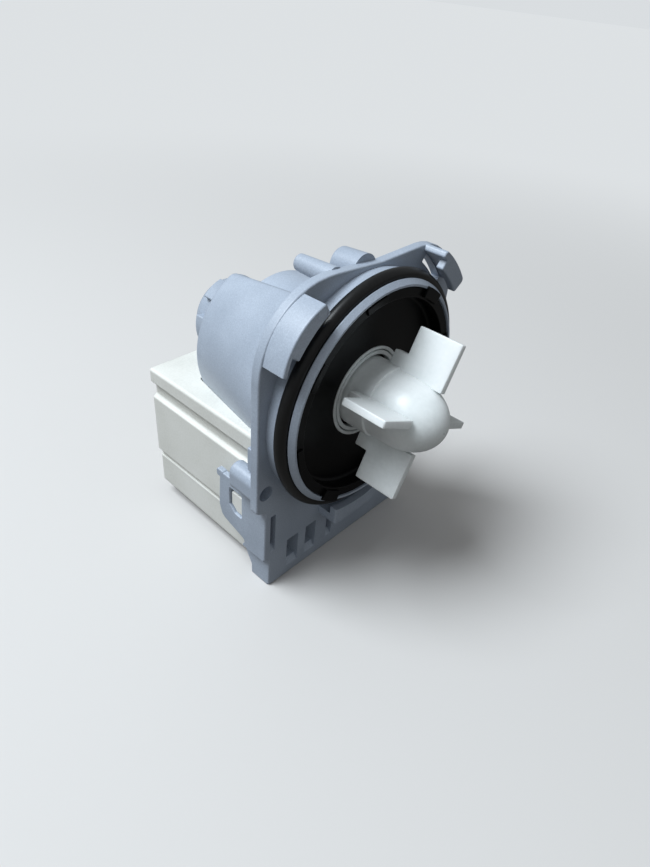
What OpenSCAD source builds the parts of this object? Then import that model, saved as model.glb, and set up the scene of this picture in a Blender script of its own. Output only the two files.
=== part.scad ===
// Drain pump of a washing machine.
// Millimetres. The pump's shaft lies along Y. The impeller faces -Y, the motor lies towards +Y,
// +X is to the right as seen from the impeller, and +Z is up. The origin is on the shaft's axis,
// in the plane of the mounting flange's front face.
// Angles named in the comments start at +Z and grow towards +X.

/* [Mounting flange] */
// Thickness of the flange plate
flange_t = 2.5; // [2:0.1:3]
// Distance from the axis to the flange's left edge
left_edge = 32.8; // [32.6:0.1:34]
// Distance from the axis to the flange's right edge
right_edge = 35.2; // [34:0.1:37]
// Height of the top edge at the left corner
top_left = 32.4; // [32:0.1:34]
// Height of the top edge in the middle
top_mid = 31.3; // [30.8:0.1:32]
// Height of the top edge at the right corner
top_right = 32.2; // [31:0.1:33]
// Radius of the upper left corner
left_corner_r = 19; // [18:0.5:21]
// Radius of the upper right corner
right_corner_r = 16; // [15:0.5:18]
// Depth below the axis at which the plate narrows to its skirt
shoulder_z = 23.8; // [23.5:0.1:24.4]
// Depth below the axis of the plate's bottom edge
bottom_z = 53.6; // [53:0.2:58]
// How far the skirt stands outside the coil case
skirt_gap = 1.1; // [0.6:0.1:2]
// Wall thickness of the skirt's side plates
skirt_t = 1.6; // [1.2:0.1:2]
// Length of the side plates behind the flange's face
skirt_len = 9.1; // [8.4:0.1:9.5]
// Depth below the axis at which the side plates give way to the feet
foot_z = 42.8; // [42.6:0.1:44]
// How far the feet stand inside the side plates
foot_inset = 1.7; // [1.5:0.1:1.9]
// Length of the window in each latch loop
loop_len = 4.8; // [4.2:0.1:5]
// Depth below the axis of the windows' top edge
loop_top = 25.6; // [25:0.1:26]
// Height of the windows
loop_h = 8; // [7:0.1:8.4]
// Width of the loops' rear bars
loop_bar = 3.9; // [3:0.1:4.2]

/* [Screw fixing] */
// Radius of the screw hole
screw_r = 2.1; // [1.6:0.1:2.2]
// Distance from the axis to the hole, sideways
screw_x = 29.9; // [29.8:0.1:30.2]
// Depth of the hole below the axis
screw_z = 18.4; // [18:0.1:18.8]
// Radius of the boss round the hole
boss_r = 4; // [3.6:0.1:4.2]
// Length of the boss behind the flange
boss_len = 8; // [5:0.5:10]

/* [Bayonet lugs] */
// Inner radius of the lug walls
lug_in = 36.3; // [36:0.1:36.5]
// Thickness of the lug walls
lug_t = 1.9; // [1.4:0.1:2]
// Height of the lugs in front of the flange
lug_h = 6.1; // [5.2:0.1:7]
// Inner radius of the lips that reach in from the walls
lip_in = 33.9; // [33.4:0.1:34.6]
// Thickness of the lips
lip_t = 2; // [1.5:0.1:2.6]

/* [Spigot and seal] */
// Outer radius of the spigot behind the seal
spigot_r = 30.5; // [30:0.1:30.7]
// Outer radius of the rubber seal
seal_out = 31.7; // [31.5:0.05:31.9]
// Thickness of the seal's round section
seal_d = 2.92; // [2.72:0.04:3]
// Distance of the seal's middle in front of the flange
seal_y = 4.3; // [4.2:0.1:4.4]
// Bore radius of the spigot
spigot_bore = 27.1; // [26.8:0.1:27.3]
// Radius of the spigot's mouth, where the cover's rim lies
mouth_r = 28.1; // [27.8:0.1:28.3]
// Width of the lip in front of the seal
lip_w = 2; // [1.6:0.1:2.2]
// Thickness of the web that joins the lip to the spigot
lip_web = 0.45; // [0.3:0.05:0.5]
// How far the lip's edge stands in front of the flange
lip_front = 7.5; // [7.4:0.1:8]

/* [Pump cover] */
// Distance of the cover's floor in front of the flange
floor_y = 3.3; // [3.1:0.1:3.7]
// Thickness of the cover's floor and wall
cover_t = 1.45; // [1.2:0.05:1.6]
// Height of the cover's rim in front of the flange
rim_y = 7.1; // [6.9:0.1:7.3]
// Play between the cover and the spigot
cover_play = 0.2; // [0.1:0.05:0.3]
// Width of one tab on the rim, in degrees
tab_arc = 14; // [10:1:18]
// Height of the tabs above the rim
tab_h = 0.45; // [0.3:0.05:0.6]

/* [Collar] */
// Outer radius of the white collar round the hub
collar_r = 12.04; // [11.9:0.02:12.2]
// Thickness of the collar's wall
collar_t = 0.85; // [0.7:0.05:0.95]
// Outer radius of the wear ring inside the collar
wear_r = 10.9; // [10.7:0.05:11]
// Thickness of the wear ring
wear_t = 1; // [0.8:0.05:1.1]
// How far the rings stand in front of the cover's floor
ring_proud = 0.2; // [0.1:0.05:0.6]

/* [Impeller] */
// Tip radius of the blades
blade_r = 20; // [17:0.5:22]
// Thickness of a blade at its root
blade_t = 2.2; // [1.8:0.1:2.6]
// Thickness of a blade at its tip
blade_tip_t = 1.8; // [1.4:0.1:2.2]
// Length of the blades along the shaft
blade_len = 11.8; // [9:0.2:13]
// Radius to which the blades' rear roots reach
root_r = 12.8; // [11.5:0.1:14]
// Length of the blades' rear roots
root_len = 3.7; // [2:0.1:3.9]
// Angle of the first blade
blade_turn = 26; // [0:0.5:89]
// Outer radius of the sleeve at the impeller's rear
sleeve_r = 9.2; // [9.1:0.05:9.4]
// Outer radius of the hub
hub_r = 8.75; // [8.6:0.05:8.9]
// Length of the hub's round part
hub_len = 5.8; // [5:0.1:6.5]
// Length of the hub's domed nose
nose_len = 11; // [10:0.5:14]

/* [Clutch] */
// Radius of the hollow in the hub
hollow_r = 7.4; // [7.2:0.05:7.5]
// Radius of the dog's sleeve on the shaft
dog_hub_r = 3.3; // [3:0.1:3.4]
// Radius of the dog's arm
dog_r = 6.9; // [6.4:0.1:7]
// How far the hollow reaches past the hub's round part
hollow_reach = 3.3; // [2.8:0.1:3.6]
// Length of the bore in the nose that runs on the shaft's end
nose_bore = 3.4; // [2.6:0.1:3.6]
// Length of the plug that closes the hub
plug_len = 3.9; // [3:0.1:4.2]
// Width of the dog's arm, in degrees
dog_arc = 50; // [30:1:52]
// Width of the rubber bumper that the dog strikes, in degrees
bumper_arc = 50; // [44:1:52]
// Width of the rib inside the bumper, in degrees
rib_arc = 38; // [30:1:40]

/* [Rotor] */
// Radius of the shaft
shaft_r = 2; // [1.5:0.1:2.2]
// Outer radius of the magnet
magnet_r = 11.5; // [10.5:0.1:11.7]
// Length of the magnet
magnet_len = 23.5; // [21:0.5:24]
// Outer radius of the plastic core that carries the magnet
carrier_r = 3.5; // [3:0.1:4]
// Thickness of the carrier's end discs
carrier_disc_t = 1.3; // [1:0.1:1.5]
// Thickness of a thrust washer
washer_t = 1; // [0.6:0.1:1.2]
// Outer radius of the bearings
bearing_r = 5; // [4.2:0.1:5.4]
// Length of the front bearing
front_bearing_len = 4.6; // [3.5:0.1:4.8]
// Length of the rear bearing
rear_bearing_len = 7.2; // [5:0.1:7.4]
// Thickness of the rubber round the bearings
rubber_t = 3; // [2.6:0.1:3.1]
// Play of the shaft in its bearings, on the radius
running_play = 0.05; // [0.02:0.01:0.08]

/* [Motor housing] */
// Outer radius of the motor housing at its rear
shroud_r = 19.7; // [19.5:0.1:19.9]
// Outer radius of the motor housing at the flange
shroud_front_r = 21.4; // [20.4:0.1:22]
// Wall thickness of the motor housing
shroud_t = 1.3; // [1:0.1:1.4]
// Distance of the housing's rear wall behind the flange's face
shroud_rear = 30; // [29.6:0.2:31]
// How far the left pocket reaches behind the rear wall
pocket_len = 7.5; // [5:0.5:7.6]
// Outer radius of the left pocket at the flange
pocket_front_r = 27.6; // [26.6:0.1:27.7]
// Outer radius of the left pocket at its rear
pocket_rear_r = 21.5; // [21:0.1:22]
// Inner radius of the rotor tube
tube_in = 12.3; // [12.1:0.1:12.4]
// Wall thickness of the rotor tube
tube_t = 1.3; // [1:0.1:1.4]
// Distance of the rotor tube's rear end behind the flange's face
tube_end = 38.4; // [38:0.2:39]
// Thickness of the rotor tube's rear wall
tube_wall = 1.5; // [1.2:0.1:1.8]
// Thickness of the wall that closes the rear boss
tail_wall = 2; // [1.4:0.1:2.4]
// Radius of the rear boss between its lobes
tail_r = 10.3; // [10:0.1:10.8]
// Width of one lobe of the rear boss, in degrees
lobe_arc = 33; // [24:1:40]
// Radius of the rear boss over its lobes
tail_lobe_r = 12; // [11.4:0.1:12.2]
// Distance of the boss's rear end behind the flange's face
tail_end = 52.5; // [51:0.5:54]
// Radius of the small post at its rear end
small_post_r = 1.95; // [1.6:0.05:2.2]
// Radius of the large post at its rear end
large_post_r = 3.65; // [3.2:0.05:4]
// How much wider both posts are at the flange
post_draft = 0.5; // [0:0.1:0.8]

/* [Stator] */
// Length of the lamination stack along the shaft
stack_len = 16; // [13:0.5:16]
// Width of a leg of the stack
leg_w = 8; // [6.5:0.25:8]
// Height of the yoke that joins the legs
yoke_h = 6; // [5:0.25:6]
// Wall thickness of the bobbins
bobbin_t = 1; // [0.8:0.1:1.2]
// Depth of the windings
winding_t = 3.8; // [2.5:0.1:4]

/* [Coil case] */
// Half the width of the coil case
case_w = 27.2; // [27:0.1:27.6]
// Distance of the case's front wall behind the flange's face
case_front = 5; // [4.6:0.1:5.2]
// Distance of the case's rear face behind the flange's face
case_rear = 51; // [50:0.5:53]
// Depth of the case's top below the axis, at the front
case_top = 7.5; // [7:0.1:8]
// How much lower the top lies at the rear
top_drop = 0.9; // [0.2:0.1:1.2]
// Depth of the case's bottom below the axis, at the front
case_bottom = 50.5; // [50:0.1:51.2]
// How much higher the bottom lies at the rear
bottom_rise = 1.1; // [0.2:0.1:2]
// Thickness of the case's side walls
case_wall = 2.4; // [1.8:0.1:2.6]
// Depth of the upper groove's top below the axis
upper_groove_z = 12.4; // [12:0.1:12.8]
// Height of the upper groove
upper_groove_h = 5.3; // [4.5:0.1:6.5]
// Depth of the lower groove's top below the axis
lower_groove_z = 36.4; // [36:0.1:37]
// Height of the lower groove
lower_groove_h = 2.8; // [2:0.1:3.4]
// Depth of both grooves
groove_d = 1.5; // [1:0.1:1.6]

/* [Terminals] */
// Width of a terminal tab
tab_w = 6.3; // [4.8:0.1:7]
// Thickness of a terminal tab
tab_t = 0.8; // [0.5:0.1:1]
// Distance between the two tabs
tab_pitch = 10; // [9:0.5:11]
// Depth of the socket round the tabs
socket_depth = 10.5; // [9:0.5:11]

/* [Hidden] */
$fn = 96;

grey = [0.62, 0.66, 0.71];
white = [0.93, 0.93, 0.91];
black = [0.07, 0.07, 0.08];
eps = 0.01;
join = 0.5;
assembly_gap = 0.2;

// Seal and spigot, measured forwards from the flange's face
seal_sec = seal_d / 2;
seal_mid_r = seal_out - seal_sec;
seal_squeeze = 0.1;
groove_r = seal_mid_r - seal_sec + seal_squeeze;
groove_side = seal_sec + 0.05;
groove_rear = -seal_y + groove_side;
groove_front = -seal_y - groove_side;
ledge_y = groove_front - lip_web;
lip_out = mouth_r + lip_w;
lip_nose = 0.75;

// Pump cover and what it carries
cover_out = spigot_bore - cover_play;
cup_r = cover_out - cover_t;
rim_out = mouth_r - cover_play;
floor_rear = -floor_y + cover_t;
recess_y = -1.5;
recess_r = collar_r + 0.02;
recess_wall = 1.4;
stem_r = tube_in - assembly_gap;
stem_end = 3.5;
mount_r = bearing_r + rubber_t;
tab_count = 8;
tab_start = 33;
long_tabs = [0, 4];

// Rotor, front to back
bearing_seat = 1.5;
bearing_front = stem_end - front_bearing_len - 0.2;
end_play = 0.3;
washer_front = stem_end + end_play;
carrier_front = washer_front + washer_t + eps;
magnet_front = 8.5;
magnet_rear = magnet_front + magnet_len;
disc_r = magnet_r - 1;
tail_hollow_end = tail_end - tail_wall;
rear_bearing_end = tail_hollow_end - bearing_seat;
rear_bearing_front = rear_bearing_end - rear_bearing_len;
washer_rear = rear_bearing_front - end_play;
carrier_rear = washer_rear - washer_t - eps;
tail_hollow_r = mount_r + 0.15;
shaft_end = rear_bearing_end + 0.5;

// Impeller, measured forwards from the flange's face
step_y = -10;
blade_rear = -10.4;
blade_front = blade_rear - blade_len;
nose_y = step_y - hub_len;
nose_end = nose_y - nose_len;
sleeve_rear = -2.4;
plug_rear = sleeve_rear - 0.2;
plug_front = plug_rear - plug_len;
plug_r = hollow_r + 0.4;
hollow_end = nose_y - hollow_reach;
hollow_taper = 2.5;
hollow_nose_r = hollow_r - 0.8;
blind_front = hollow_end - nose_bore;
shaft_front = blind_front + 0.4;
dog_rear = plug_front - 0.7;
dog_front = hollow_end + 0.3;
arm_rear = dog_rear - 0.8;
arm_front = hollow_end + hollow_taper + 0.5;
rib_in = dog_hub_r + 1.2;
bumper_in = dog_hub_r + 0.4;
play = 0.02;

// Housing
tube_out = tube_in + tube_t;
boss_front = tube_end - tube_wall;
shroud_in = shroud_r - shroud_t;
shroud_z = -case_top - top_drop - 1;
rear_wall_t = 1.3;
tail_round = 1.4;
lobe_short = 2.2;
pocket_rear = shroud_rear + pocket_len;
pocket_a = -23.5;
pocket_reach = -117;
pocket_in = tube_out + 1;
skirt_w = case_w + skirt_gap + skirt_t;
skirt_in = case_w + skirt_gap;
foot_w = skirt_w - foot_inset;
foot_t = 1.9;
boss_flat = skirt_in - 0.8;
sill_drop = 1.6;
frame_t = 1.2;
frame_end = case_front - 0.3;
// Windows in the lower flange: left, right, bottom, top
windows = [[-28.1, -26.3, -38.9, -27.5], [-21.8, -17.5, -48.8, -40.1],
    [-14.7, -10.6, -48.6, -40], [-6.2, -3.8, -48.2, -42.3]];
// Lug arcs: wall from, wall to, lip from, lip to
lugs = [[-61, -34, -54, -34], [33, 55, 36, 55]];
lug_slot_r = lug_in - 0.3;
bottom_lug_x = [-10, 7];
bottom_lug_z = lug_in + 2.1;
small_post = [-9.6, 30.3];
small_post_len = 10.5;
large_post = [0.2, 29.2];
large_post_len = 7.1;
rib_x = [-31, -28.6];
rib_len = 3.1;
rib_z = [-13.8, -7];

// Latch loops on the side plates, seen from the side: distance behind the flange, height
loop_win = [skirt_len, skirt_len + loop_len, -loop_top - loop_h, -loop_top];
loop_rear = loop_win[1] + loop_bar;
catch_proud = skirt_gap + 0.9;

// Stator
pole_r = tube_out + assembly_gap;
pole_out = shroud_in - assembly_gap;
stack_mid = (magnet_front + magnet_rear) / 2;
stack_front = stack_mid - stack_len / 2;
stack_rear = stack_mid + stack_len / 2;
pole_arc = [22, 150];
leg_out = floor(10 * sqrt(pow(pole_out, 2) - pow(shroud_z, 2))) / 10;
leg_in = leg_out - leg_w;
leg_mid = (leg_in + leg_out) / 2;
case_floor = -case_bottom + bottom_rise + 1.6;
yoke_top = case_floor + yoke_h;
bobbin_play = 0.15;
bobbin_bottom = yoke_top + 0.1;
bobbin_top = -shroud_r - 0.8;
bobbin_flange = 1.2;
bobbin_w = leg_w / 2 + bobbin_play + bobbin_t;
bobbin_d = stack_len / 2 + bobbin_play + bobbin_t;

// Coil case
case_in = case_w - case_wall;
cavity_front = case_front + 1.5;
cavity_rear = stack_mid + bobbin_d + winding_t + 2;
opening_play = 0.3;
opening_z = shroud_z - 0.4;
cavity_top = opening_z - 1.7;
trough_r = tube_out + 0.4;
tail_trough_r = tail_lobe_r + 0.4;
main_in = 0.3;
ledge_in = 1.1;
socket_w = tab_pitch / 2 + 4.5;
socket_z = [-33, -23];
socket_floor = case_rear - socket_depth;
tab_z = -28;
terminal_front = cavity_rear - 1.6;
terminal_rear = case_rear - 2;
slot_play = 0.05;
fuse_r = 1.6;
fuse_len = 9;

function unit(v) = v / norm(v);
function turn_of(a, b) = b - a > 180 ? b - a - 360 : b - a < -180 ? b - a + 360 : b - a;
// Points of the arc that rounds corner q between its neighbours p and s
function corner(p, q, s, r, n = 8) =
    let (u = unit(p - q), v = unit(s - q), half = acos(u * v) / 2)
    let (c = q + unit(u + v) * r / sin(half), reach = r / tan(half))
    let (d0 = q + u * reach - c, d1 = q + v * reach - c)
    let (a0 = atan2(d0[1], d0[0]), turn = turn_of(a0, atan2(d1[1], d1[0])))
    [for (i = [0:n]) c + r * [cos(a0 + turn * i / n), sin(a0 + turn * i / n)]];
function flat(p) = [p[0], p[1]];
// Outline with rounded corners from a list of corners: across, up, radius
function rounded(pts) = let (n = len(pts))
    [for (i = [0:n - 1]) each corner(flat(pts[(i + n - 1) % n]), flat(pts[i]),
        flat(pts[(i + 1) % n]), pts[i][2])];
function at(r, a) = [r * sin(a), r * cos(a)];

// A flat shape drawn as seen from the front, from one distance behind the flange to another
module slab(y0, y1) {
    translate([0, y1, 0]) rotate([90, 0, 0]) linear_extrude(y1 - y0) children();
}
// A flat shape drawn as seen from the right side: distance behind the flange, height
module plate(x0, x1) {
    translate([x0, 0, 0]) rotate([90, 0, 90]) linear_extrude(x1 - x0) children();
}
// A profile of radius and distance behind the flange, turned about the shaft's axis
module turned(profile, a0 = 0, sweep = 360) {
    rotate([90, 0, 0]) rotate_extrude(angle = sweep, start = 90 - a0 - sweep)
        polygon([for (p = profile) [p[0], -p[1]]]);
}
module rod(r, y0, y1) {
    translate([0, y0, 0]) rotate([-90, 0, 0]) cylinder(r = r, h = y1 - y0);
}
module ring(r_in, r_out, y0, y1) {
    difference() {
        rod(r_out, y0, y1);
        rod(r_in, y0 - 1, y1 + 1);
    }
}
module sector(r, a0, a1) {
    steps = ceil((a1 - a0) / 30);
    reach = r / cos((a1 - a0) / steps / 2) + 1;
    polygon(concat([[0, 0]], [for (i = [0:steps]) at(reach, a0 + (a1 - a0) * i / steps)]));
}
module arc_band(r_in, r_out, a0, a1) {
    intersection() {
        difference() {
            circle(r = r_out);
            circle(r = r_in);
        }
        sector(r_out, a0, a1);
    }
}
module box(x, y, z) {
    translate([x[0], y[0], z[0]]) cube([x[1] - x[0], y[1] - y[0], z[1] - z[0]]);
}
module both_sides() {
    children();
    mirror([1, 0, 0]) children();
}

module flange_outline() {
    right = [[right_edge, top_right, right_corner_r], [right_edge, -shoulder_z, 1.5],
        [skirt_w, -shoulder_z - 1.6, 0.3], [skirt_w, -foot_z + 0.2, 0.3],
        [foot_w, -foot_z - 0.4, 0.3], [foot_w, -bottom_z, 0.8]];
    left = [[-foot_w, -bottom_z, 0.8], [-foot_w, -foot_z - 0.4, 0.3],
        [-skirt_w, -foot_z + 0.2, 0.3], [-skirt_w, -shoulder_z - 1.6, 0.3],
        [-left_edge, -shoulder_z, 1.5], [-left_edge, top_left, left_corner_r]];
    top = [[-11, top_left, 8], [4, top_mid, 12]];
    polygon(rounded(concat(right, left, top)));
}
module spigot() {
    turned([[spigot_bore, join], [spigot_bore, ledge_y], [mouth_r, ledge_y],
        [mouth_r, -lip_front], [mouth_r + lip_nose, -lip_front + 0.4],
        [lip_out - 0.4, ledge_y - 0.35], [lip_out, ledge_y + 0.2],
        [lip_out, groove_front], [groove_r, groove_front], [groove_r, groove_rear],
        [spigot_r, groove_rear], [spigot_r, join]]);
}
module lug(a) {
    slab(-lug_h, join) intersection() {
        arc_band(lug_in, lug_in + lug_t, a[0], a[1]);
        flange_outline();
    }
    slab(-lug_h, -lug_h + lip_t) arc_band(lip_in, lug_in + eps, a[2], a[3]);
}
module bottom_lug_shape(r) {
    difference() {
        polygon(rounded([[bottom_lug_x[0], -bottom_lug_z, 1.2], [bottom_lug_x[1], -bottom_lug_z, 1.2],
            [bottom_lug_x[1], -lip_in + 2, 0.3], [bottom_lug_x[0], -lip_in + 2, 0.3]]));
        circle(r = r);
    }
}
module bottom_lug() {
    slab(-lug_h, join) bottom_lug_shape(lug_in);
    slab(-lug_h, -lug_h + lip_t) bottom_lug_shape(lip_in);
}
// Latch loop that hooks the coil case, with its window
module side_plate() {
    plate(skirt_in, skirt_w) difference() {
        polygon([[0, -shoulder_z + 1.6], [loop_rear - 0.3, loop_win[3] + 3.1],
            [loop_rear, loop_win[3] + 4.1], [loop_rear + 0.6, loop_win[3] + 3.9],
            [loop_rear + 0.4, loop_win[2] - 0.6], [loop_rear - 0.6, loop_win[2] - 3.5],
            [loop_rear - 1.8, loop_win[2] - 4.5], [skirt_len - 1.5, loop_win[2] - 7],
            [skirt_len, -foot_z], [0, -foot_z]]);
        polygon([[loop_win[0], loop_win[3]], [loop_win[1], loop_win[3]],
            [loop_win[1], loop_win[2] + 2.1], [loop_win[1] - 2.1, loop_win[2] + 0.2],
            [loop_win[0], loop_win[2]]]);
    }
}
module foot() {
    plate(foot_w - foot_t, foot_w) polygon([[0, -foot_z + 0.4], [skirt_len + 0.4, -foot_z + 0.4],
        [skirt_len + 0.3, -foot_z - 3.2], [skirt_len - 2.1, -bottom_z + 3.3],
        [skirt_len - 2.2, -bottom_z], [0, -bottom_z]]);
}
// Cone round the shaft, from one radius to another
module cone(r0, r1, y0, y1) {
    turned([[0, y0], [r0, y0], [r1, y1], [0, y1]]);
}
// Sector of the left pocket, drawn in by a margin
module pocket(margin, turn_in) {
    turned([[pocket_in + margin, flange_t - margin], [pocket_front_r - margin, flange_t - margin],
        [pocket_rear_r - margin, pocket_rear - margin], [pocket_in + margin, pocket_rear - margin]],
        pocket_reach, pocket_a - pocket_reach - turn_in);
}
// Round cover of the motor, open below, with its left pocket
module motor_shroud() {
    difference() {
        union() {
            cone(shroud_front_r, shroud_r, flange_t, shroud_rear);
            pocket(0, 0);
        }
        cone(shroud_front_r - shroud_t, shroud_in, flange_t - eps, shroud_rear - rear_wall_t);
        pocket(shroud_t, 3.5);
        rod(tube_out - join, flange_t - 1, pocket_rear + 1);
        box([-pocket_front_r - 1, pocket_front_r + 1], [flange_t - 1, pocket_rear + 1],
            [-pocket_front_r - 1, shroud_z]);
    }
}
// Post on the flange's rear face, a little wider at its foot
module post(place, r, len) {
    translate([place[0], flange_t - join, place[1]]) rotate([-90, 0, 0])
        cylinder(r1 = r + post_draft, r2 = r, h = len + join);
}
module screw_boss() {
    slab(flange_t - join, flange_t + boss_len) intersection() {
        translate([-screw_x, -screw_z]) circle(r = boss_r);
        translate([-left_edge, -screw_z - 6]) square([left_edge - boss_flat, 12]);
    }
}
module window_frames() {
    for (w = [windows[1], windows[2], windows[3]])
        box([w[0] - frame_t, w[1] + frame_t], [flange_t - join, frame_end],
            [w[2] - frame_t, w[3] + frame_t]);
}
module window_cuts() {
    for (w = windows) {
        box([w[0], w[1]], [-1, frame_end + 1], [w[2], w[3]]);
        plate(w[0], w[1]) polygon([[-1, w[2] - sill_drop * 1.8], [-1, w[2] + eps],
            [flange_t / 2, w[2] + eps]]);
    }
}
module lug_slots() {
    for (a = lugs)
        slab(-join, flange_t + 1) arc_band(lip_in, lug_slot_r, a[2], a[3]);
    slab(-join, flange_t + 1) arc_band(lip_in + 0.1, lug_slot_r, 171, 190);
}
module housing() color(grey) {
    difference() {
        union() {
            slab(0, flange_t) flange_outline();
            for (a = lugs) lug(a);
            bottom_lug();
            both_sides() side_plate();
            both_sides() foot();
            box([-foot_w, foot_w], [0, skirt_len - 2.2], [-bottom_z, -bottom_z + skirt_t]);
            window_frames();
            screw_boss();
            post(small_post, small_post_r, small_post_len);
            post(large_post, large_post_r, large_post_len);
            box(rib_x, [flange_t - join, flange_t + rib_len], rib_z);
            slab(flange_t - join, flange_t + 3.5) arc_band(36.4, 37.6, 59, 69);
        }
        rod(tube_in, -1, flange_t + 1);
        translate([-screw_x, 0, -screw_z]) rod(screw_r, -1, flange_t + boss_len + 1);
        window_cuts();
        lug_slots();
    }
    spigot();
}
// The flange, the motor shell and the rear boss are one moulding, drawn as three solids that meet
// face to face
module motor_shell() color(grey) {
    motor_shroud();
    ring(tube_in, tube_out, flange_t, boss_front);
}
module rear_boss() color(grey) {
    turned([[tail_hollow_r, boss_front], [tail_hollow_r, tail_hollow_end], [0, tail_hollow_end],
        [0, tail_end], [tail_r - tail_round, tail_end],
        [tail_r - tail_round * 0.3, tail_end - tail_round * 0.3], [tail_r, tail_end - tail_round],
        [tail_r, tube_end], [tube_out, tube_end], [tube_out, boss_front]]);
    slab(tube_end - join, tail_end - lobe_short)
        for (i = [0:5])
            arc_band(tail_r - 1, tail_lobe_r, 30 + 60 * i - lobe_arc / 2, 30 + 60 * i + lobe_arc / 2);
}

// One tab on the cover's rim. The long ones reach over the spigot's lip.
module rim_tab(i) {
    mid = tab_start + 360 / tab_count * i;
    inner = cup_r + 0.6;
    outer = rim_out - 0.1;
    root = -rim_y + lip_web;
    short_tab = [[inner, root], [inner, -rim_y - tab_h], [outer, -rim_y - tab_h], [outer, root]];
    long_tab = [[inner, root], [inner, -lip_front - tab_h], [mouth_r + lip_nose, -lip_front - tab_h],
        [mouth_r + lip_nose, -lip_front], [outer, -lip_front], [outer, root]];
    turned(search(i, long_tabs) == [] ? short_tab : long_tab, mid - tab_arc / 2, tab_arc);
}
module pump_cover() color(black) {
    turned([[recess_r, -floor_y], [cup_r, -floor_y], [cup_r, -rim_y], [rim_out, -rim_y],
        [rim_out, ledge_y], [cover_out, ledge_y], [cover_out, floor_rear],
        [recess_r + recess_wall, floor_rear], [recess_r + recess_wall, -assembly_gap],
        [stem_r, -assembly_gap], [stem_r, stem_end], [mount_r, stem_end],
        [mount_r, recess_y], [recess_r, recess_y]]);
    for (i = [0:tab_count - 1]) rim_tab(i);
}
module flange_seal() color(black) {
    rotate([90, 0, 0]) translate([0, 0, seal_y])
        rotate_extrude() translate([seal_mid_r, 0]) circle(r = seal_sec, $fn = 32);
}
module seal_collar() color(white) {
    ring(collar_r - collar_t, collar_r, -floor_y - ring_proud, recess_y);
}
module wear_ring() color(white) {
    ring(wear_r - wear_t, wear_r, -floor_y - ring_proud, recess_y);
}

module bearing(y0, y1) color("goldenrod") ring(shaft_r + running_play, bearing_r, y0, y1);
module bearing_mount(y0, y1) color([0.15, 0.15, 0.16]) ring(bearing_r + play, mount_r - play, y0, y1);
module front_bearing() bearing(bearing_front, bearing_front + front_bearing_len);
module front_bearing_mount() bearing_mount(bearing_front, stem_end);
module rear_bearing() bearing(rear_bearing_front, rear_bearing_end);
module rear_bearing_mount() color([0.15, 0.15, 0.16])
    ring(bearing_r + play, tail_hollow_r - play, rear_bearing_front, tail_hollow_end);

// Pole piece of the right side, and its mirror for the left
module pole() color([0.55, 0.56, 0.58]) {
    slab(stack_front, stack_rear) difference() {
        union() {
            arc_band(pole_r, pole_out, pole_arc[0], pole_arc[1]);
            translate([leg_in, yoke_top]) square([leg_w, shroud_z - 0.3 - yoke_top]);
        }
        circle(r = pole_r);
    }
}
module pole_left() mirror([1, 0, 0]) pole();
module pole_right() pole();
module yoke() color([0.5, 0.51, 0.53]) {
    box([-leg_out, leg_out], [stack_front, stack_rear], [case_floor, yoke_top]);
}
module bobbin(side) color([0.88, 0.88, 0.84]) {
    mid = side * leg_mid;
    reach = side < 0 ? [-case_in + 0.3, -0.1] : [0.1, case_in - 0.3];
    depth = [stack_mid - bobbin_d - winding_t, stack_mid + bobbin_d + winding_t];
    difference() {
        union() {
            box([mid - bobbin_w, mid + bobbin_w], [stack_mid - bobbin_d, stack_mid + bobbin_d],
                [bobbin_bottom, bobbin_top]);
            box(reach, depth, [bobbin_bottom, bobbin_bottom + bobbin_flange]);
            box(reach, depth, [bobbin_top - bobbin_flange, bobbin_top]);
        }
        box([mid - bobbin_w + bobbin_t, mid + bobbin_w - bobbin_t],
            [stack_mid - bobbin_d + bobbin_t, stack_mid + bobbin_d - bobbin_t],
            [bobbin_bottom - 1, bobbin_top + 1]);
    }
}
module bobbin_left() bobbin(-1);
module bobbin_right() bobbin(1);
module winding(side) color([0.72, 0.38, 0.2]) {
    outer = [leg_w / 2 + bobbin_play + bobbin_t + winding_t, bobbin_d + winding_t];
    translate([side * leg_mid, stack_mid, bobbin_bottom + bobbin_flange])
        linear_extrude(bobbin_top - bobbin_bottom - 2 * bobbin_flange) difference() {
            polygon(rounded([[-outer[0], -outer[1], 3], [outer[0], -outer[1], 3],
                [outer[0], outer[1], 3], [-outer[0], outer[1], 3]]));
            square([2 * bobbin_w, 2 * bobbin_d], center = true);
        }
}
module winding_left() winding(-1);
module winding_right() winding(1);

module case_section() {
    g = case_w - groove_d;
    m = case_w - main_in;
    e = case_w - ledge_in;
    top = -upper_groove_z;
    low = -lower_groove_z;
    half = [[case_w, -case_top + 2], [case_w, top], [g, top - 1], [g, top - upper_groove_h + 0.9],
        [m, top - upper_groove_h], [m, low], [g, low - 0.4], [g, low - lower_groove_h + 0.4],
        [e, low - lower_groove_h], [e, -case_bottom - 1]];
    polygon(concat(half, [for (i = [len(half) - 1:-1:0]) [-half[i][0], half[i][1]]]));
}
module case_catch() {
    plate(case_w - main_in - join, case_w - main_in + catch_proud)
        polygon([[loop_win[0] + 0.3, loop_win[2] + 0.3], [loop_win[1] - 2.3, loop_win[2] + 0.6],
            [loop_win[1] - 0.3, loop_win[2] + 2.4], [loop_win[1] - 0.3, loop_win[3] - 1.5],
            [loop_win[0] + 0.3, loop_win[3] - 1.5]]);
}
module tab_slots() {
    for (side = [-1, 1])
        box([side * tab_pitch / 2 - tab_t / 2 - slot_play, side * tab_pitch / 2 + tab_t / 2 + slot_play],
            [cavity_rear - 1, socket_floor + 1],
            [tab_z - tab_w / 2 - slot_play, tab_z + tab_w / 2 + slot_play]);
}
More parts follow.
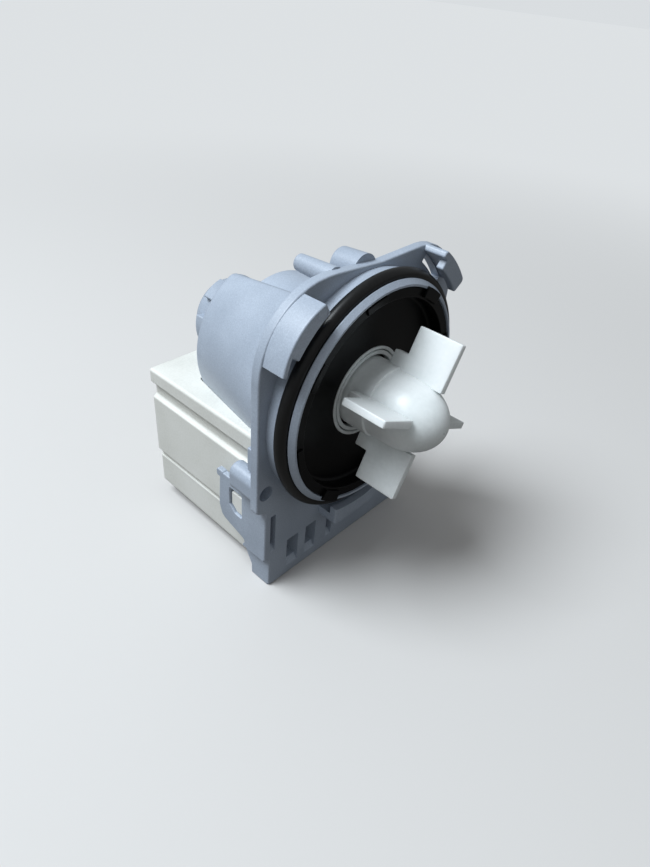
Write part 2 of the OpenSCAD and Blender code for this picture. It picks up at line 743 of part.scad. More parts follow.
// Room for the motor shell and its pocket in the case's top
module shroud_opening() {
    wide = shroud_front_r + opening_play;
    cone(wide, shroud_r + opening_play, flange_t, shroud_rear + opening_play);
    intersection() {
        cone(pocket_front_r + opening_play, pocket_rear_r + opening_play, flange_t,
            pocket_rear + opening_play);
        box([-pocket_front_r - 1, 0], [flange_t, pocket_rear + 1], [opening_z, 1]);
    }
}
module coil_case() color(white) {
    difference() {
        union() {
            intersection() {
                slab(case_front, case_rear) case_section();
                plate(-case_w - 1, case_w + 1) polygon([[case_front - 1, -case_top],
                    [case_rear + 1, -case_top - top_drop],
                    [case_rear + 1, -case_bottom + bottom_rise], [case_front - 1, -case_bottom]]);
            }
            both_sides() case_catch();
        }
        box([-case_in, case_in], [cavity_front, cavity_rear], [case_floor, cavity_top]);
        shroud_opening();
        rod(trough_r, shroud_rear, tube_end + 0.4);
        rod(tail_trough_r, tube_end, case_rear + 1);
        box([-socket_w, socket_w], [socket_floor, case_rear + 1], socket_z);
        tab_slots();
    }
}
module terminal(side) color([0.8, 0.78, 0.7]) {
    x = side * tab_pitch / 2;
    plate(x - tab_t / 2, x + tab_t / 2) polygon([[terminal_front, tab_z - tab_w / 2],
        [terminal_rear - 1, tab_z - tab_w / 2], [terminal_rear, tab_z - tab_w / 2 + 1],
        [terminal_rear, tab_z + tab_w / 2 - 1], [terminal_rear - 1, tab_z + tab_w / 2],
        [terminal_front, tab_z + tab_w / 2]]);
}
module terminal_left() terminal(-1);
module terminal_right() terminal(1);
module thermal_fuse() color([0.75, 0.72, 0.62]) {
    translate([0, stack_mid, bobbin_bottom + bobbin_flange]) cylinder(r = fuse_r, h = fuse_len);
}

module rotor_shaft() color([0.75, 0.76, 0.78]) rod(shaft_r, shaft_front, shaft_end);
module rotor_magnet() color([0.25, 0.25, 0.27]) ring(carrier_r + play, magnet_r, magnet_front, magnet_rear);
module magnet_carrier() color([0.3, 0.32, 0.36]) difference() {
    turned([[0, carrier_front], [0, carrier_rear], [carrier_r, carrier_rear],
        [carrier_r, magnet_rear + carrier_disc_t], [disc_r, magnet_rear + carrier_disc_t],
        [disc_r, magnet_rear], [carrier_r, magnet_rear], [carrier_r, magnet_front],
        [disc_r, magnet_front], [disc_r, magnet_front - carrier_disc_t],
        [carrier_r, magnet_front - carrier_disc_t], [carrier_r, carrier_front]]);
    rod(shaft_r + eps, carrier_front - 1, carrier_rear + 1);
}
module washer(y) color([0.85, 0.8, 0.7]) ring(shaft_r + play, bearing_r - 0.4, y, y + washer_t);
module front_washer() washer(washer_front);
module rear_washer() washer(washer_rear - washer_t);
module drive_dog() color([0.2, 0.3, 0.55]) difference() {
    union() {
        rod(dog_hub_r, dog_front, dog_rear);
        slab(arm_front, arm_rear) arc_band(dog_hub_r - join, dog_r,
            blade_turn + 180 - dog_arc / 2, blade_turn + 180 + dog_arc / 2);
    }
    rod(shaft_r + eps, dog_front - 1, dog_rear + 1);
}

module blade(a) {
    tip = blade_r;
    inner = hub_r - 0.6;
    rotate([0, a, 0]) {
        slab(blade_front, blade_rear) polygon([[-blade_t / 2, inner], [blade_t / 2, inner],
            [blade_tip_t / 2, tip], [-blade_tip_t / 2, tip]]);
        slab(blade_rear - eps, blade_rear + root_len)
            translate([-blade_t / 2, inner]) square([blade_t, root_r - inner]);
    }
}
module hub_shell() {
    nose = [for (i = [0:15]) let (t = i * 90 / 16) [hub_r * cos(t), nose_y - nose_len * sin(t)]];
    dimple = [[0.9, nose_end + nose_len * (1 - sqrt(1 - pow(0.9 / hub_r, 2)))], [0.7, nose_end + 0.6],
        [0, nose_end + 0.6]];
    bore = shaft_r + running_play;
    turned(concat([[sleeve_r, sleeve_rear], [sleeve_r, step_y], [hub_r, step_y - 0.1]], nose, dimple,
        [[0, blind_front], [bore, blind_front], [bore, hollow_end], [hollow_nose_r, hollow_end],
        [hollow_r, hollow_end + hollow_taper], [hollow_r, plug_front], [plug_r, plug_front],
        [plug_r, sleeve_rear]]));
}
module impeller() color([0.95, 0.95, 0.94]) {
    hub_shell();
    for (i = [0:3]) blade(blade_turn + 90 * i);
    slab(arm_front, arm_rear)
        arc_band(rib_in, hollow_r + 0.4, blade_turn - rib_arc / 2, blade_turn + rib_arc / 2);
}
module impeller_plug() color([0.9, 0.9, 0.88]) {
    ring(shaft_r + running_play, plug_r - play, plug_front, plug_rear);
}
module hub_bumper() color([0.12, 0.12, 0.12]) slab(arm_front + 0.1, arm_rear - 0.1) difference() {
    arc_band(bumper_in, hollow_r - 0.1, blade_turn - bumper_arc / 2, blade_turn + bumper_arc / 2);
    arc_band(rib_in - play, hollow_r + 1, blade_turn - rib_arc / 2 - 0.2, blade_turn + rib_arc / 2 + 0.2);
}

housing();
motor_shell();
rear_boss();
pump_cover();
flange_seal();
seal_collar();
wear_ring();
front_bearing();
front_bearing_mount();
rear_bearing();
rear_bearing_mount();
pole_left();
pole_right();
yoke();
bobbin_left();
bobbin_right();
winding_left();
winding_right();
coil_case();
terminal_left();
terminal_right();
thermal_fuse();
rotor_shaft();
rotor_magnet();
magnet_carrier();
front_washer();
rear_washer();
drive_dog();
impeller();
impeller_plug();
hub_bumper();
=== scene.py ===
import math

import bmesh
import bpy
import numpy as np
from mathutils import Matrix, Vector
from mathutils.geometry import delaunay_2d_cdt


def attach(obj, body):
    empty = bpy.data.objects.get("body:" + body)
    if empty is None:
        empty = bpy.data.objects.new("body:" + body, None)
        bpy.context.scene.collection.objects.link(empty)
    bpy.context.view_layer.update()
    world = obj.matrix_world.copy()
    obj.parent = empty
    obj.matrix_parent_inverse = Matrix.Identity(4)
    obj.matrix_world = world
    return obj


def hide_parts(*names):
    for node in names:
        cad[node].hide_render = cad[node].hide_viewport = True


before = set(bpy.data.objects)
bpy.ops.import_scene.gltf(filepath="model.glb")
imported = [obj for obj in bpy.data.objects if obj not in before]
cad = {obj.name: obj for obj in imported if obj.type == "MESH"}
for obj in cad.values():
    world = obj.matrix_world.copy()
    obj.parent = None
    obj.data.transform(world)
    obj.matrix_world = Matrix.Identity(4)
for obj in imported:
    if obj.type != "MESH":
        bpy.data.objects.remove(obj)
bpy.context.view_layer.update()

# Motor housing
# One moulding of mineral-filled grey polyamide: the mounting flange with its spigot, bayonet lugs,
# latch loops and feet, and behind it the round motor shell, its pocket and the lobed rear boss.
# All lengths are in millimetres and are turned into metres when a mesh is made.


def rim(corners, steps=6):
    """Closed outline with rounded corners, as a function of how far it is drawn in.

    Every corner (across, up, radius) moves in along the mitre of its two sides, and the arc that
    rounds it has its centre on the bisector, radius / sin(half the corner's angle) from it. A point
    close to each end of the arc keeps the flat sides flat under smooth shading.
    """
    c = np.array(corners, float)
    nxt = np.roll(c, -1, 0)
    if np.sum(c[:, 0] * nxt[:, 1] - c[:, 1] * nxt[:, 0]) < 0:
        c = c[::-1].copy()

    def loop(inset=0.0):
        p, r = c[:, :2], c[:, 2]
        ahead = np.roll(p, -1, 0) - p
        ahead /= np.linalg.norm(ahead, axis=1)[:, None]
        behind = np.roll(ahead, 1, 0)
        n1 = np.stack([ahead[:, 1], -ahead[:, 0]], 1)
        n0 = np.roll(n1, 1, 0)
        q = p - inset * (n0 + n1) / (1 + np.sum(n0 * n1, 1))[:, None]
        side = np.where(behind[:, 0] * ahead[:, 1] - behind[:, 1] * ahead[:, 0] > 0, 1.0, -1.0)
        rad = np.maximum(r - side * inset, 0.02)
        half = 0.5 * np.arccos(np.clip(-np.sum(behind * ahead, 1), -1, 1))
        bisect = ahead - behind
        bisect /= np.linalg.norm(bisect, axis=1)[:, None]
        centre = q + bisect * (rad / np.sin(half))[:, None]
        start = q - behind * (rad / np.tan(half))[:, None] - centre
        angle = np.arctan2(start[:, 1], start[:, 0])[:, None]
        angle = angle + (side * (np.pi - 2 * half))[:, None] * np.linspace(0, 1, steps + 1)
        arc = centre[:, None] + np.stack([np.cos(angle), np.sin(angle)], 2) * rad[:, None, None]
        straight = np.sum((np.roll(arc[:, 0], -1, 0) - arc[:, -1]) * ahead, 1)
        hold = np.clip(0.25 * straight, 0, 0.06)
        first = arc[:, 0] - behind * np.roll(hold, 1)[:, None]
        last = arc[:, -1] + ahead * hold[:, None]
        return np.concatenate([first[:, None], arc, last[:, None]], 1).reshape(-1, 2)

    return loop


def disc(r, x=0.0, z=0.0, steps=96):
    """Circle of radius r - inset about (x, z): (x + (r - inset) cos a, z + (r - inset) sin a)."""
    a = np.linspace(0, 2 * np.pi, steps, endpoint=False)
    return lambda inset=0.0: np.stack([x + (r - inset) * np.cos(a), z + (r - inset) * np.sin(a)], 1)


def bent(corners, pitch=1.6):
    """Outline given as (angle in degrees from +Z towards +X, radius, corner radius), bent about the axis.

    It is drawn flat as arc length by radius, its sides are divided every pitch, and each point
    goes to (radius sin angle, radius cos angle).
    """
    c = np.array(corners, float)
    mid = c[:, 1].mean()
    flat = rim(np.stack([np.radians(c[:, 0]) * mid, c[:, 1], c[:, 2]], 1), 4)
    p = flat(0)
    sides = np.linalg.norm(np.roll(p, -1, 0) - p, axis=1)
    parts = np.maximum(np.ceil(sides / pitch), 1).astype(int)
    i = np.repeat(np.arange(len(p)), parts)
    f = (np.arange(parts.sum()) - np.repeat(np.cumsum(parts) - parts, parts)) / np.repeat(parts, parts)

    def loop(inset=0.0):
        p = flat(inset)
        q = p[i] + (np.roll(p, -1, 0)[i] - p[i]) * f[:, None]
        return np.stack([q[:, 1] * np.sin(q[:, 0] / mid), q[:, 1] * np.cos(q[:, 0] / mid)], 1)

    return loop


def band(r_in, r_out, a0, a1, corner=0.5):
    """Outline of a piece of a ring, between two radii and two angles."""
    return bent([(a0, r_in, corner), (a1, r_in, corner), (a1, r_out, corner), (a0, r_out, corner)])


def solid(points, faces):
    """Object of a closed surface, its doubled points merged and its faces turned outwards."""
    mesh = bpy.data.meshes.new("solid")
    mesh.from_pydata((np.asarray(points) * 0.001).tolist(), [], faces)
    shape = bmesh.new()
    shape.from_mesh(mesh)
    bmesh.ops.remove_doubles(shape, verts=shape.verts, dist=2e-6)
    bmesh.ops.dissolve_degenerate(shape, dist=1e-6, edges=shape.edges)
    loose = [edge for edge in shape.edges if edge.is_wire]
    bmesh.ops.delete(shape, geom=loose, context="EDGES")
    if shape.calc_volume(signed=True) < 0:
        bmesh.ops.reverse_faces(shape, faces=shape.faces)
    shape.to_mesh(mesh)
    shape.free()
    piece = bpy.data.objects.new("solid", mesh)
    bpy.context.scene.collection.objects.link(piece)
    return piece


def grid_faces(rows, cols, closed):
    """Quads of a grid of points that closes on itself sideways, and lengthways if closed is set."""
    i, j = np.meshgrid(np.arange(rows if closed else rows - 1), np.arange(cols), indexing="ij")
    a, b = i * cols + j, i * cols + (j + 1) % cols
    c, d = (i + 1) % rows * cols + (j + 1) % cols, (i + 1) % rows * cols + j
    return np.stack([a, b, c, d], -1).reshape(-1, 4)


def moulded(loops, low, high, axes="xzy"):
    """Solid between two flat ends, whose outline and holes have rounded rims.

    loops lists (outline, rounding at the low end, rounding at the high end), the outer one first.
    Near an end an outline is drawn in by r (1 - sin t) at a depth of r (1 - cos t). The letters of
    axes say which way the outline's across, its up and the depth run.
    """
    t = np.linspace(0, np.pi / 2, 5)
    # The outline's last step inwards leaves a narrow flat band round each end's face
    border = 0.06
    points, faces, ends, start = [], [], [[], []], 0
    for k, (loop, r0, r1) in enumerate(loops):
        inset = np.concatenate([[r0 + border], r0 * (1 - np.sin(t)), [0, 0],
                                (r1 * (1 - np.sin(t)))[::-1], [r1 + border]])
        depth = np.concatenate([[low], low + r0 * (1 - np.cos(t)),
                                [low + r0 + border, high - r1 - border],
                                (high - r1 * (1 - np.cos(t)))[::-1], [high]])
        side = 1 if k == 0 else -1
        rings = np.stack([np.column_stack([loop(side * d), np.full(len(loop(0)), y)])
                          for d, y in zip(inset, depth)])
        rows, cols = rings.shape[:2]
        quads = grid_faces(rows, cols, False) + start
        faces += (quads if k == 0 else quads[:, ::-1]).tolist()
        points.append(rings.reshape(-1, 3))
        ends[0].append(np.arange(cols) + start)
        ends[1].append(np.arange(cols) + start + (rows - 1) * cols)
        start += rows * cols
    points = np.concatenate(points)
    for end, up in zip(ends, (False, True)):
        index = np.concatenate(end)
        sizes = np.cumsum([0] + [len(e) for e in end])
        borders = [list(range(m, n)) for m, n in zip(sizes, sizes[1:])]
        flat = [Vector(p) for p in points[index, :2].tolist()]
        found = delaunay_2d_cdt(flat, [], borders, 1, 1e-5)
        source = np.array([ids[0] for ids in found[3]])
        # Kept are the triangles within the outer outline alone, which leaves the holes open
        filled = [f for f, within in zip(found[2], found[5]) if list(within) == [0]]
        tri = index[source[np.array(filled)]]
        a, b, c = (points[tri[:, n], :2] for n in range(3))
        turn = (b - a)[:, 0] * (c - a)[:, 1] - (b - a)[:, 1] * (c - a)[:, 0]
        faces += np.where(((turn > 0) == up)[:, None], tri, tri[:, ::-1]).tolist()
    place = np.empty_like(points)
    for n, letter in enumerate(axes):
        place[:, "xyz".index(letter)] = points[:, n]
    return solid(place, faces)


def turned(corners, steps=144, fine=4):
    """Closed profile (radius, distance behind the flange, fillet) turned about the shaft's axis.

    A point goes to (radius sin a, distance, radius cos a).
    """
    p = rim(corners, fine)(0)
    a = np.linspace(0, 2 * np.pi, steps, endpoint=False)
    x = p[:, :1] * np.sin(a)
    z = p[:, :1] * np.cos(a)
    y = np.broadcast_to(p[:, 1:], x.shape)
    return solid(np.stack([x, y, z], -1).reshape(-1, 3), grid_faces(len(p), steps, True).tolist())


def block(x, y, z, corner=0.3, edge=0.25):
    """Rounded block, drawn as its front view and given depth y."""
    outline = rim([(x[0], z[0], corner), (x[1], z[0], corner),
                   (x[1], z[1], corner), (x[0], z[1], corner)], 3)
    return moulded([(outline, edge, edge)], y[0], y[1])


def reshaped(piece, change):
    """Moves a piece's points: change takes their places in millimetres and returns new ones."""
    p = np.empty(len(piece.data.vertices) * 3)
    piece.data.vertices.foreach_get("co", p)
    p = change(p.reshape(-1, 3) * 1000)
    piece.data.vertices.foreach_set("co", (p * 0.001).ravel())
    return piece


def flare(piece, gain, y_end, hold=0.0, x=0.0, z=0.0):
    """Draft of a moulded form: each point moves away from the axis through (x, z), by
    gain (y_end - y) (r - hold)."""
    def widen(p):
        across = p[:, [0, 2]] - (x, z)
        r = np.linalg.norm(across, axis=1)
        grown = 1 + gain * (y_end - p[:, 1]) * (r - hold) / np.maximum(r, 0.01)
        p[:, [0, 2]] = across * grown[:, None] + (x, z)
        return p

    return reshaped(piece, widen)


def fuse(name, base, add=(), cut=(), common=(), sharp=32):
    """One closed shell out of several: the solids of add are united with base, those of cut are
    taken away, only what lies within those of common is kept, and edges that turn by more than
    sharp degrees stay crisp."""
    for kind, others in (("UNION", add), ("DIFFERENCE", cut), ("INTERSECT", common)):
        for other in others:
            step = base.modifiers.new(kind, "BOOLEAN")
            step.operation, step.solver, step.object = kind, "MANIFOLD", other
    bpy.context.view_layer.update()
    result = base.evaluated_get(bpy.context.evaluated_depsgraph_get())
    made = bpy.data.meshes.new_from_object(result)
    for spent in (base, *add, *cut, *common):
        bpy.data.objects.remove(spent)
    made.name = name
    made.materials.clear()
    made.polygons.foreach_set("material_index", np.zeros(len(made.polygons), np.int32))
    made.shade_smooth()
    made.set_sharp_from_angle(angle=math.radians(sharp))
    piece = bpy.data.objects.new(name, made)
    bpy.context.scene.collection.objects.link(piece)
    return piece


# The flange's plate, from its upper right corner clockwise
flange_edge = rim([(35.2, 32.2, 16), (35.2, -23.8, 1.5), (29.9, -25.4, 0.3), (29.9, -42.6, 0.3),
                   (28.2, -43.2, 0.3), (28.2, -53.6, 0.8), (-28.2, -53.6, 0.8), (-28.2, -43.2, 0.3),
                   (-29.9, -42.6, 0.3), (-29.9, -25.4, 0.3), (-32.8, -23.8, 1.5), (-32.8, 32.4, 19),
                   (-11, 32.4, 8), (4, 31.3, 12)], 10)
plate = moulded([(flange_edge, 0.45, 0.3), (disc(12.3), 0, 0)], 0, 2.5)

# The spigot with its bevelled lip, and the seal's groove behind the lip
round_steps = 192
spigot = turned([(27.1, 0.5, 0.02), (27.1, -6.26, 0.02), (28.1, -6.26, 0.02), (28.1, -7.5, 0.2),
                 (28.65, -7.5, 0.25), (29.7, -6.35, 0.35), (29.7, -6.1, 0.1), (28.6, -5.9, 0.2),
                 (28.6, -2.79, 0.1), (30.5, -2.79, 0.35), (30.5, 0.5, 0.02)], round_steps)

# The three bayonet lugs stand on the flange, and their lips reach in over the port's hooks.
# The left one follows the flange's corner.
left_wall = [(-30.7, 17.02, 0.2), (-31.85, 17.68, 0.2), (-29.67, 27.12, 16.5), (-20.68, 30.63, 0.4)]
left_lip = [(-18.96, 28.1, 0.6), (-23.91, 24.76, 29), (-27.43, 19.93, 0.4), (-29.37, 21.34, 0.2)]
left_back = [(-20.3, 30.09, 0.2), (-27.52, 25.22, 27)]
right_wall = [(33, 36.3, 0.5), (33, 38.2, 0.9), (55, 38.2, 1.2)]
right_lip = [(55, 33.9, 0.6), (36, 33.9, 0.4), (36, 36.3, 0.2)]
lug_parts = [moulded([(rim(left_wall + left_lip, 12), 0.4, 0.15)], -6.1, -4.1),
             moulded([(rim(left_wall + left_back, 12), 0.1, 0.02)], -4.6, 2.1),
             moulded([(bent(right_wall + right_lip), 0.4, 0.15)], -6.1, -4.1),
             moulded([(bent(right_wall + [(55, 36.3, 0.4)]), 0.1, 0.1)], -4.6, 0.4)]
under_lip = [moulded([(disc(33.9, steps=round_steps), 0, 0)], -7, 1),
             moulded([(disc(36.3, steps=round_steps), 0, 0)], -4.1, -0.01)]
low_lug = fuse("low_lug", block((-10, 7), (-6.1, 0.4), (-38.4, -31.5), 1.2, 0.5), cut=under_lip)

# Side plates, seen from the side: the loops that latch the coil case, their hooks and the feet
loop_edge = [(0.5, -22.6, 0.1), (17.6, -22.4, 0.5), (18.2, -34.2, 1.2), (17.2, -37.1, 1.2),
             (16, -38.1, 0.8), (7.6, -40.6, 1), (9.1, -43.2, 0.4), (0.5, -43.2, 0.1)]
loop_window = [(9.1, -25.6, 0.5), (13.9, -25.6, 0.5), (13.9, -31.4, 0.6), (11.8, -33.4, 0.6),
               (9.1, -33.6, 0.5)]
hook_edge = [(16.3, -24.4, 0.1), (18.9, -24.4, 0.7), (18.9, -22, 0.7), (16.3, -22.2, 0.4)]
foot_edge = [(0.5, -42.6, 0.1), (9.5, -42.6, 0.4), (9.4, -46, 0.9), (7, -50.3, 0.9),
             (6.9, -53.6, 0.5), (0.5, -53.6, 0.1)]
plate_sides = ((-29.9, -28.3), (28.3, 29.9))
foot_sides = ((-28.2, -26.3), (26.3, 28.2))
sides = [moulded([(rim(loop_edge), 0.3, 0.3), (rim(loop_window), 0.25, 0.25)], a, b, "yzx")
         for a, b in plate_sides]
sides += [moulded([(rim(hook_edge), 0.25, 0.25)], a, b, "yzx") for a, b in plate_sides]
sides += [moulded([(rim(foot_edge), 0.3, 0.3)], a, b, "yzx") for a, b in foot_sides]
sides.append(block((-27.9, 27.9), (0.5, 6.9), (-53.6, -52), 0.3, 0.3))

# The screw boss, and on the flange's back two small ribs and the thick and the thin post
boss_edge = rim([(-32.7, -22.4, 2.6), (-27.5, -22.4, 2.6), (-27.5, -14.4, 2.6), (-32.7, -14.4, 2.6)], 12)
boss = moulded([(boss_edge, 0, 0.5)], 2.2, 10.5)
ribs = [block((-31, -28.6), (2, 5.6), (-13.8, -7)),
        moulded([(band(36.4, 37.6, 59, 69, 0.4), 0, 0.3)], 2, 6),
        flare(moulded([(disc(3.65, 0.2, 29.2, 64), 0, 0.7)], 2, 9.6), 0.0193, 9.6, x=0.2, z=29.2),
        flare(moulded([(disc(1.95, -9.6, 30.3, 48), 0, 0.5)], 2, 13), 0.0244, 13, x=-9.6, z=30.3)]

# Four windows in the flange's lower left, each with a slanted sill, as (left, right, low, high)
windows = [(-28.1, -26.3, -38.9, -27.5), (-21.8, -17.5, -48.8, -40.1), (-14.7, -10.6, -48.6, -40),
           (-6.2, -3.8, -48.2, -42.3)]
frames = [block((left - 1.2, right + 1.2), (2, 4.7), (low - 1.2, high + 1.2))
          for left, right, low, high in windows[1:]]
cuts = [block((left, right), (-1, 5.7), (low, high), 0.15, 0.02) for left, right, low, high in windows]
for left, right, low, high in windows:
    sill = rim([(-1, low - 2.9, 0.02), (1.25, low + 0.05, 0.02), (-1, low + 0.05, 0.02)], 1)
    cuts.append(moulded([(sill, 0, 0)], left + 0.1, right - 0.1, "yzx"))

# Slots behind the lugs' lips, the screw's bore, and a pin's ring on the front of the left lug
lug_angles = ((-54, -36), (36, 54), (171, 190))
cuts += [moulded([(band(33.9, 36, a, b, 0.3), 0, 0)], -0.5, 3.5) for a, b in lug_angles]
cuts.append(moulded([(disc(2.1, -29.9, -18.4, 48), 0, 0)], -1, 11))
pin_mark = [(disc(1.5, -21.6, 28.6, 40), 0.05, 0), (disc(1.32, -21.6, 28.6, 40), 0, 0)]
cuts.append(moulded(pin_mark, -6.25, -6.04))
flange = fuse("flange", plate, [spigot, *lug_parts, low_lug, *sides, *frames, boss, *ribs], cuts)

# The motor shell: a round cover that is open below, with a deeper pocket on its left
shroud = turned([(13.1, 2.3, 0.02), (13.1, 30, 0.02), (19.7, 30, 1.1), (21.4, 2.3, 0.02)], round_steps)
shell_hollow = turned([(12, 2, 0.02), (20.1, 2, 0.02), (18.4, 28.7, 0.4), (12, 28.7, 0.02)], round_steps)
pocket = moulded([(band(14.6, 21.6, -117, -22.3, 1.9), 0, 1.6)], 2.4, 37)
pocket_hollow = moulded([(band(15.9, 20.2, -121, -27, 0.8), 0, 0.5)], 2.9, 35.7)
pocket_draft, pocket_end, pocket_inner = 0.0253, 37.5, 14.6
pocket = flare(pocket, pocket_draft, pocket_end, pocket_inner)
pocket_hollow = flare(pocket_hollow, pocket_draft, pocket_end, pocket_inner)
below = block((-28.8, 28.8), (1, 38.5), (-23, -9.4), 0.02, 0.02)
shell = fuse("shell", shroud, [pocket], [shell_hollow, pocket_hollow, below])

# The tube in which the rotor turns, and the closed rear boss with its six lobes
tube = turned([(12.3, 0.4, 0.02), (12.3, 36.9, 0.02), (8.15, 36.9, 0.02), (8.15, 50.5, 0.02),
               (0, 50.5, 0), (0, 52.5, 0), (10.3, 52.5, 2), (10.3, 38.4, 0.5), (13.6, 38.4, 0.6),
               (13.6, 0.4, 0.02)], round_steps)
lobes = [moulded([(band(9.3, 12, 60 * i + 13, 60 * i + 47, 0.3), 0.02, 0.35)], 38, 49.5)
         for i in range(6)]
housing = fuse("motor_housing", flange, [shell, tube, *lobes])


def material(name, **values):
    """Principled shader with the given socket values.

    Returns the material, a maker of its nodes and a function that links a node to the shader. The
    maker takes a node type, property values and links, where a link is "Socket": (node, output).
    """
    made = bpy.data.materials.new(name)
    made.use_nodes = True
    tree = made.node_tree
    shader = tree.nodes["Principled BSDF"]
    for socket, value in values.items():
        shader.inputs[socket.replace("_", " ")].default_value = value

    def make(kind, settings=None, inputs=None):
        new = tree.nodes.new("ShaderNode" + kind)
        for key, value in (settings or {}).items():
            setattr(new, key, value)
        for key, value in (inputs or {}).items():
            if isinstance(value, tuple) and hasattr(value[0], "outputs"):
                tree.links.new(value[0].outputs[value[1]], new.inputs[key])
            else:
                new.inputs[key].default_value = value
        return new

    def wire(node, output, socket):
        tree.links.new(node.outputs[output], shader.inputs[socket])

    return made, make, wire


def ramp(make, source, stops):
    """Colour ramp over a float mix: stops lists (position, colour)."""
    new = make("ValToRGB", None, {"Fac": (source, 0)})
    while len(new.color_ramp.elements) < len(stops):
        new.color_ramp.elements.new(0.5)
    for element, (position, colour) in zip(new.color_ramp.elements, stops):
        element.position, element.color = position, (*colour, 1)
    return new


def linear(r, g, b):
    """Linear colour of the screen colour (r, g, b), each from 0 to 1."""
    c = np.array([r, g, b])
    return tuple(np.where(c <= 0.04045, c / 12.92, ((c + 0.055) / 1.055) ** 2.4).tolist())


def moulded_plastic(name, shades, grain, grain_depth, rough, speck=0.5, **values):
    """Moulded plastic: a cloudy tint, a fine speckle of its filler and the mould's rough skin.

    shades lists three screen colours from dark to light. grain and grain_depth are in metres.
    """
    made, make, wire = material(name, **values)
    where = make("TexCoord")
    cloud = make("TexNoise", None, {"Vector": (where, "Object"), "Scale": 60.0, "Detail": 3.0})
    filler = make("TexNoise", None, {"Vector": (where, "Object"), "Scale": 1.0 / grain, "Detail": 2.0})
    blend = make("Mix", {"data_type": "FLOAT"}, {"Factor": speck, "A": (cloud, "Fac"), "B": (filler, "Fac")})
    dark, middle, light = (linear(*shade) for shade in shades)
    wire(ramp(make, blend, [(0.32, dark), (0.5, middle), (0.68, light)]), "Color", "Base Color")
    dull = make("MapRange", None, {"Value": (cloud, "Fac"), "From Min": 0.3, "From Max": 0.7,
                                   "To Min": rough - 0.06, "To Max": rough + 0.06})
    wire(dull, "Result", "Roughness")
    skin = make("Bump", None, {"Strength": 1.0, "Distance": grain_depth, "Height": (filler, "Fac")})
    wire(skin, "Normal", "Normal")
    return made


grey_plastic = moulded_plastic(
    "grey_plastic", [(0.60, 0.64, 0.695), (0.65, 0.69, 0.745), (0.71, 0.75, 0.805)],
    0.00033, 0.000008, 0.4, Specular_IOR_Level=0.6)
housing.data.materials.append(grey_plastic)
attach(housing, "stator")
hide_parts("housing", "motor_shell", "rear_boss")

# Pump cover
# Black moulded dish that closes the motor towards the water. Its raised rim lies in the spigot's
# mouth and has eight tabs, two of which reach over the spigot's lip and hold the cover.
dish = turned([(12.06, -3.3, 0.1), (25.45, -3.3, 0.9), (25.45, -7.1, 0.25), (27.9, -7.1, 0.2),
               (27.9, -6.26, 0.02), (26.9, -6.26, 0.02), (26.9, -1.85, 0.3), (13.46, -1.85, 0.02),
               (13.46, -0.2, 0.02), (12.1, -0.2, 0.02), (12.1, 3.5, 0.2), (8, 3.5, 0.02),
               (8, -1.5, 0.02), (12.06, -1.5, 0.02)], round_steps)
tabs = []
for k in range(8):
    a0, a1 = 26 + 45 * k, 40 + 45 * k
    if k % 4:
        tabs.append(moulded([(band(26.05, 27.8, a0, a1, 0.25), 0.15, 0)], -7.55, -6.7))
    else:
        tabs.append(moulded([(band(26.05, 28.85, a0, a1, 0.3), 0.18, 0.02)], -7.95, -7.5))
        tabs.append(moulded([(band(26.05, 27.8, a0, a1, 0.2), 0, 0)], -7.6, -6.7))
cover = fuse("cover_dish", dish, tabs)
black_plastic = moulded_plastic(
    "black_plastic", [(0.02, 0.02, 0.022), (0.03, 0.03, 0.034), (0.06, 0.06, 0.064)],
    0.0005, 0.000004, 0.34, 0.3, Specular_IOR_Level=0.12)
cover.data.materials.append(black_plastic)
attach(cover, "stator")
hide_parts("pump_cover")

# Seal
# Rubber ring of round section, stretched into the groove behind the spigot's lip. A point lies at
# (R sin u, -4.4 + 1.6 sin v, R cos u) with R = 30.1 + 1.6 cos v.
rows, cols = 192, 28
u, v = np.meshgrid(np.linspace(0, 2 * np.pi, rows, endpoint=False),
                   np.linspace(0, 2 * np.pi, cols, endpoint=False), indexing="ij")
ring_r = 30.1 + 1.6 * np.cos(v)
places = np.stack([ring_r * np.sin(u), -4.4 + 1.6 * np.sin(v), ring_r * np.cos(u)], -1)
seal = fuse("rubber_ring", solid(places.reshape(-1, 3), grid_faces(rows, cols, True).tolist()))
black_rubber = moulded_plastic(
    "black_rubber", [(0.04, 0.04, 0.04), (0.055, 0.055, 0.055), (0.09, 0.09, 0.09)],
    0.0006, 0.00001, 0.36, 0.4, Specular_IOR_Level=0.4)
seal.data.materials.append(black_rubber)
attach(seal, "stator")
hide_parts("flange_seal")

# Rings round the sleeve
# Two thin white rings in the cover's recess, a collar and a wear ring, with a narrow gap between.
ring_plastic = moulded_plastic(
    "ring_plastic", [(0.80, 0.82, 0.82), (0.85, 0.87, 0.87), (0.89, 0.90, 0.90)],
    0.0008, 0.000005, 0.35, 0.4)
for name, r_in, r_out in (("seal_collar", 11.19, 12.04), ("wear_ring", 9.9, 10.9)):
    ring_line = [(r_in, -3.5, 0.2), (r_out, -3.5, 0.2), (r_out, -1.5, 0.05), (r_in, -1.5, 0.05)]
    piece = fuse(name + "_band", turned(ring_line))
    piece.data.materials.append(ring_plastic)
    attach(piece, "stator")
    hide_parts(name)

# Bearings
# Two sintered bronze bushes, soaked in oil, each pressed into a thick rubber ring.


def dress(made, *names):
    """Gives the material to CAD nodes that stay as they are."""
    for name in names:
        cad[name].data.materials.clear()
        cad[name].data.materials.append(made)


dress(moulded_plastic("bearing_bronze", [(0.42, 0.32, 0.20), (0.60, 0.47, 0.29), (0.70, 0.57, 0.38)],
                      0.0003, 0.00002, 0.5, 0.7, Metallic=0.9), "front_bearing", "rear_bearing")
dress(black_rubber, "front_bearing_mount", "rear_bearing_mount")

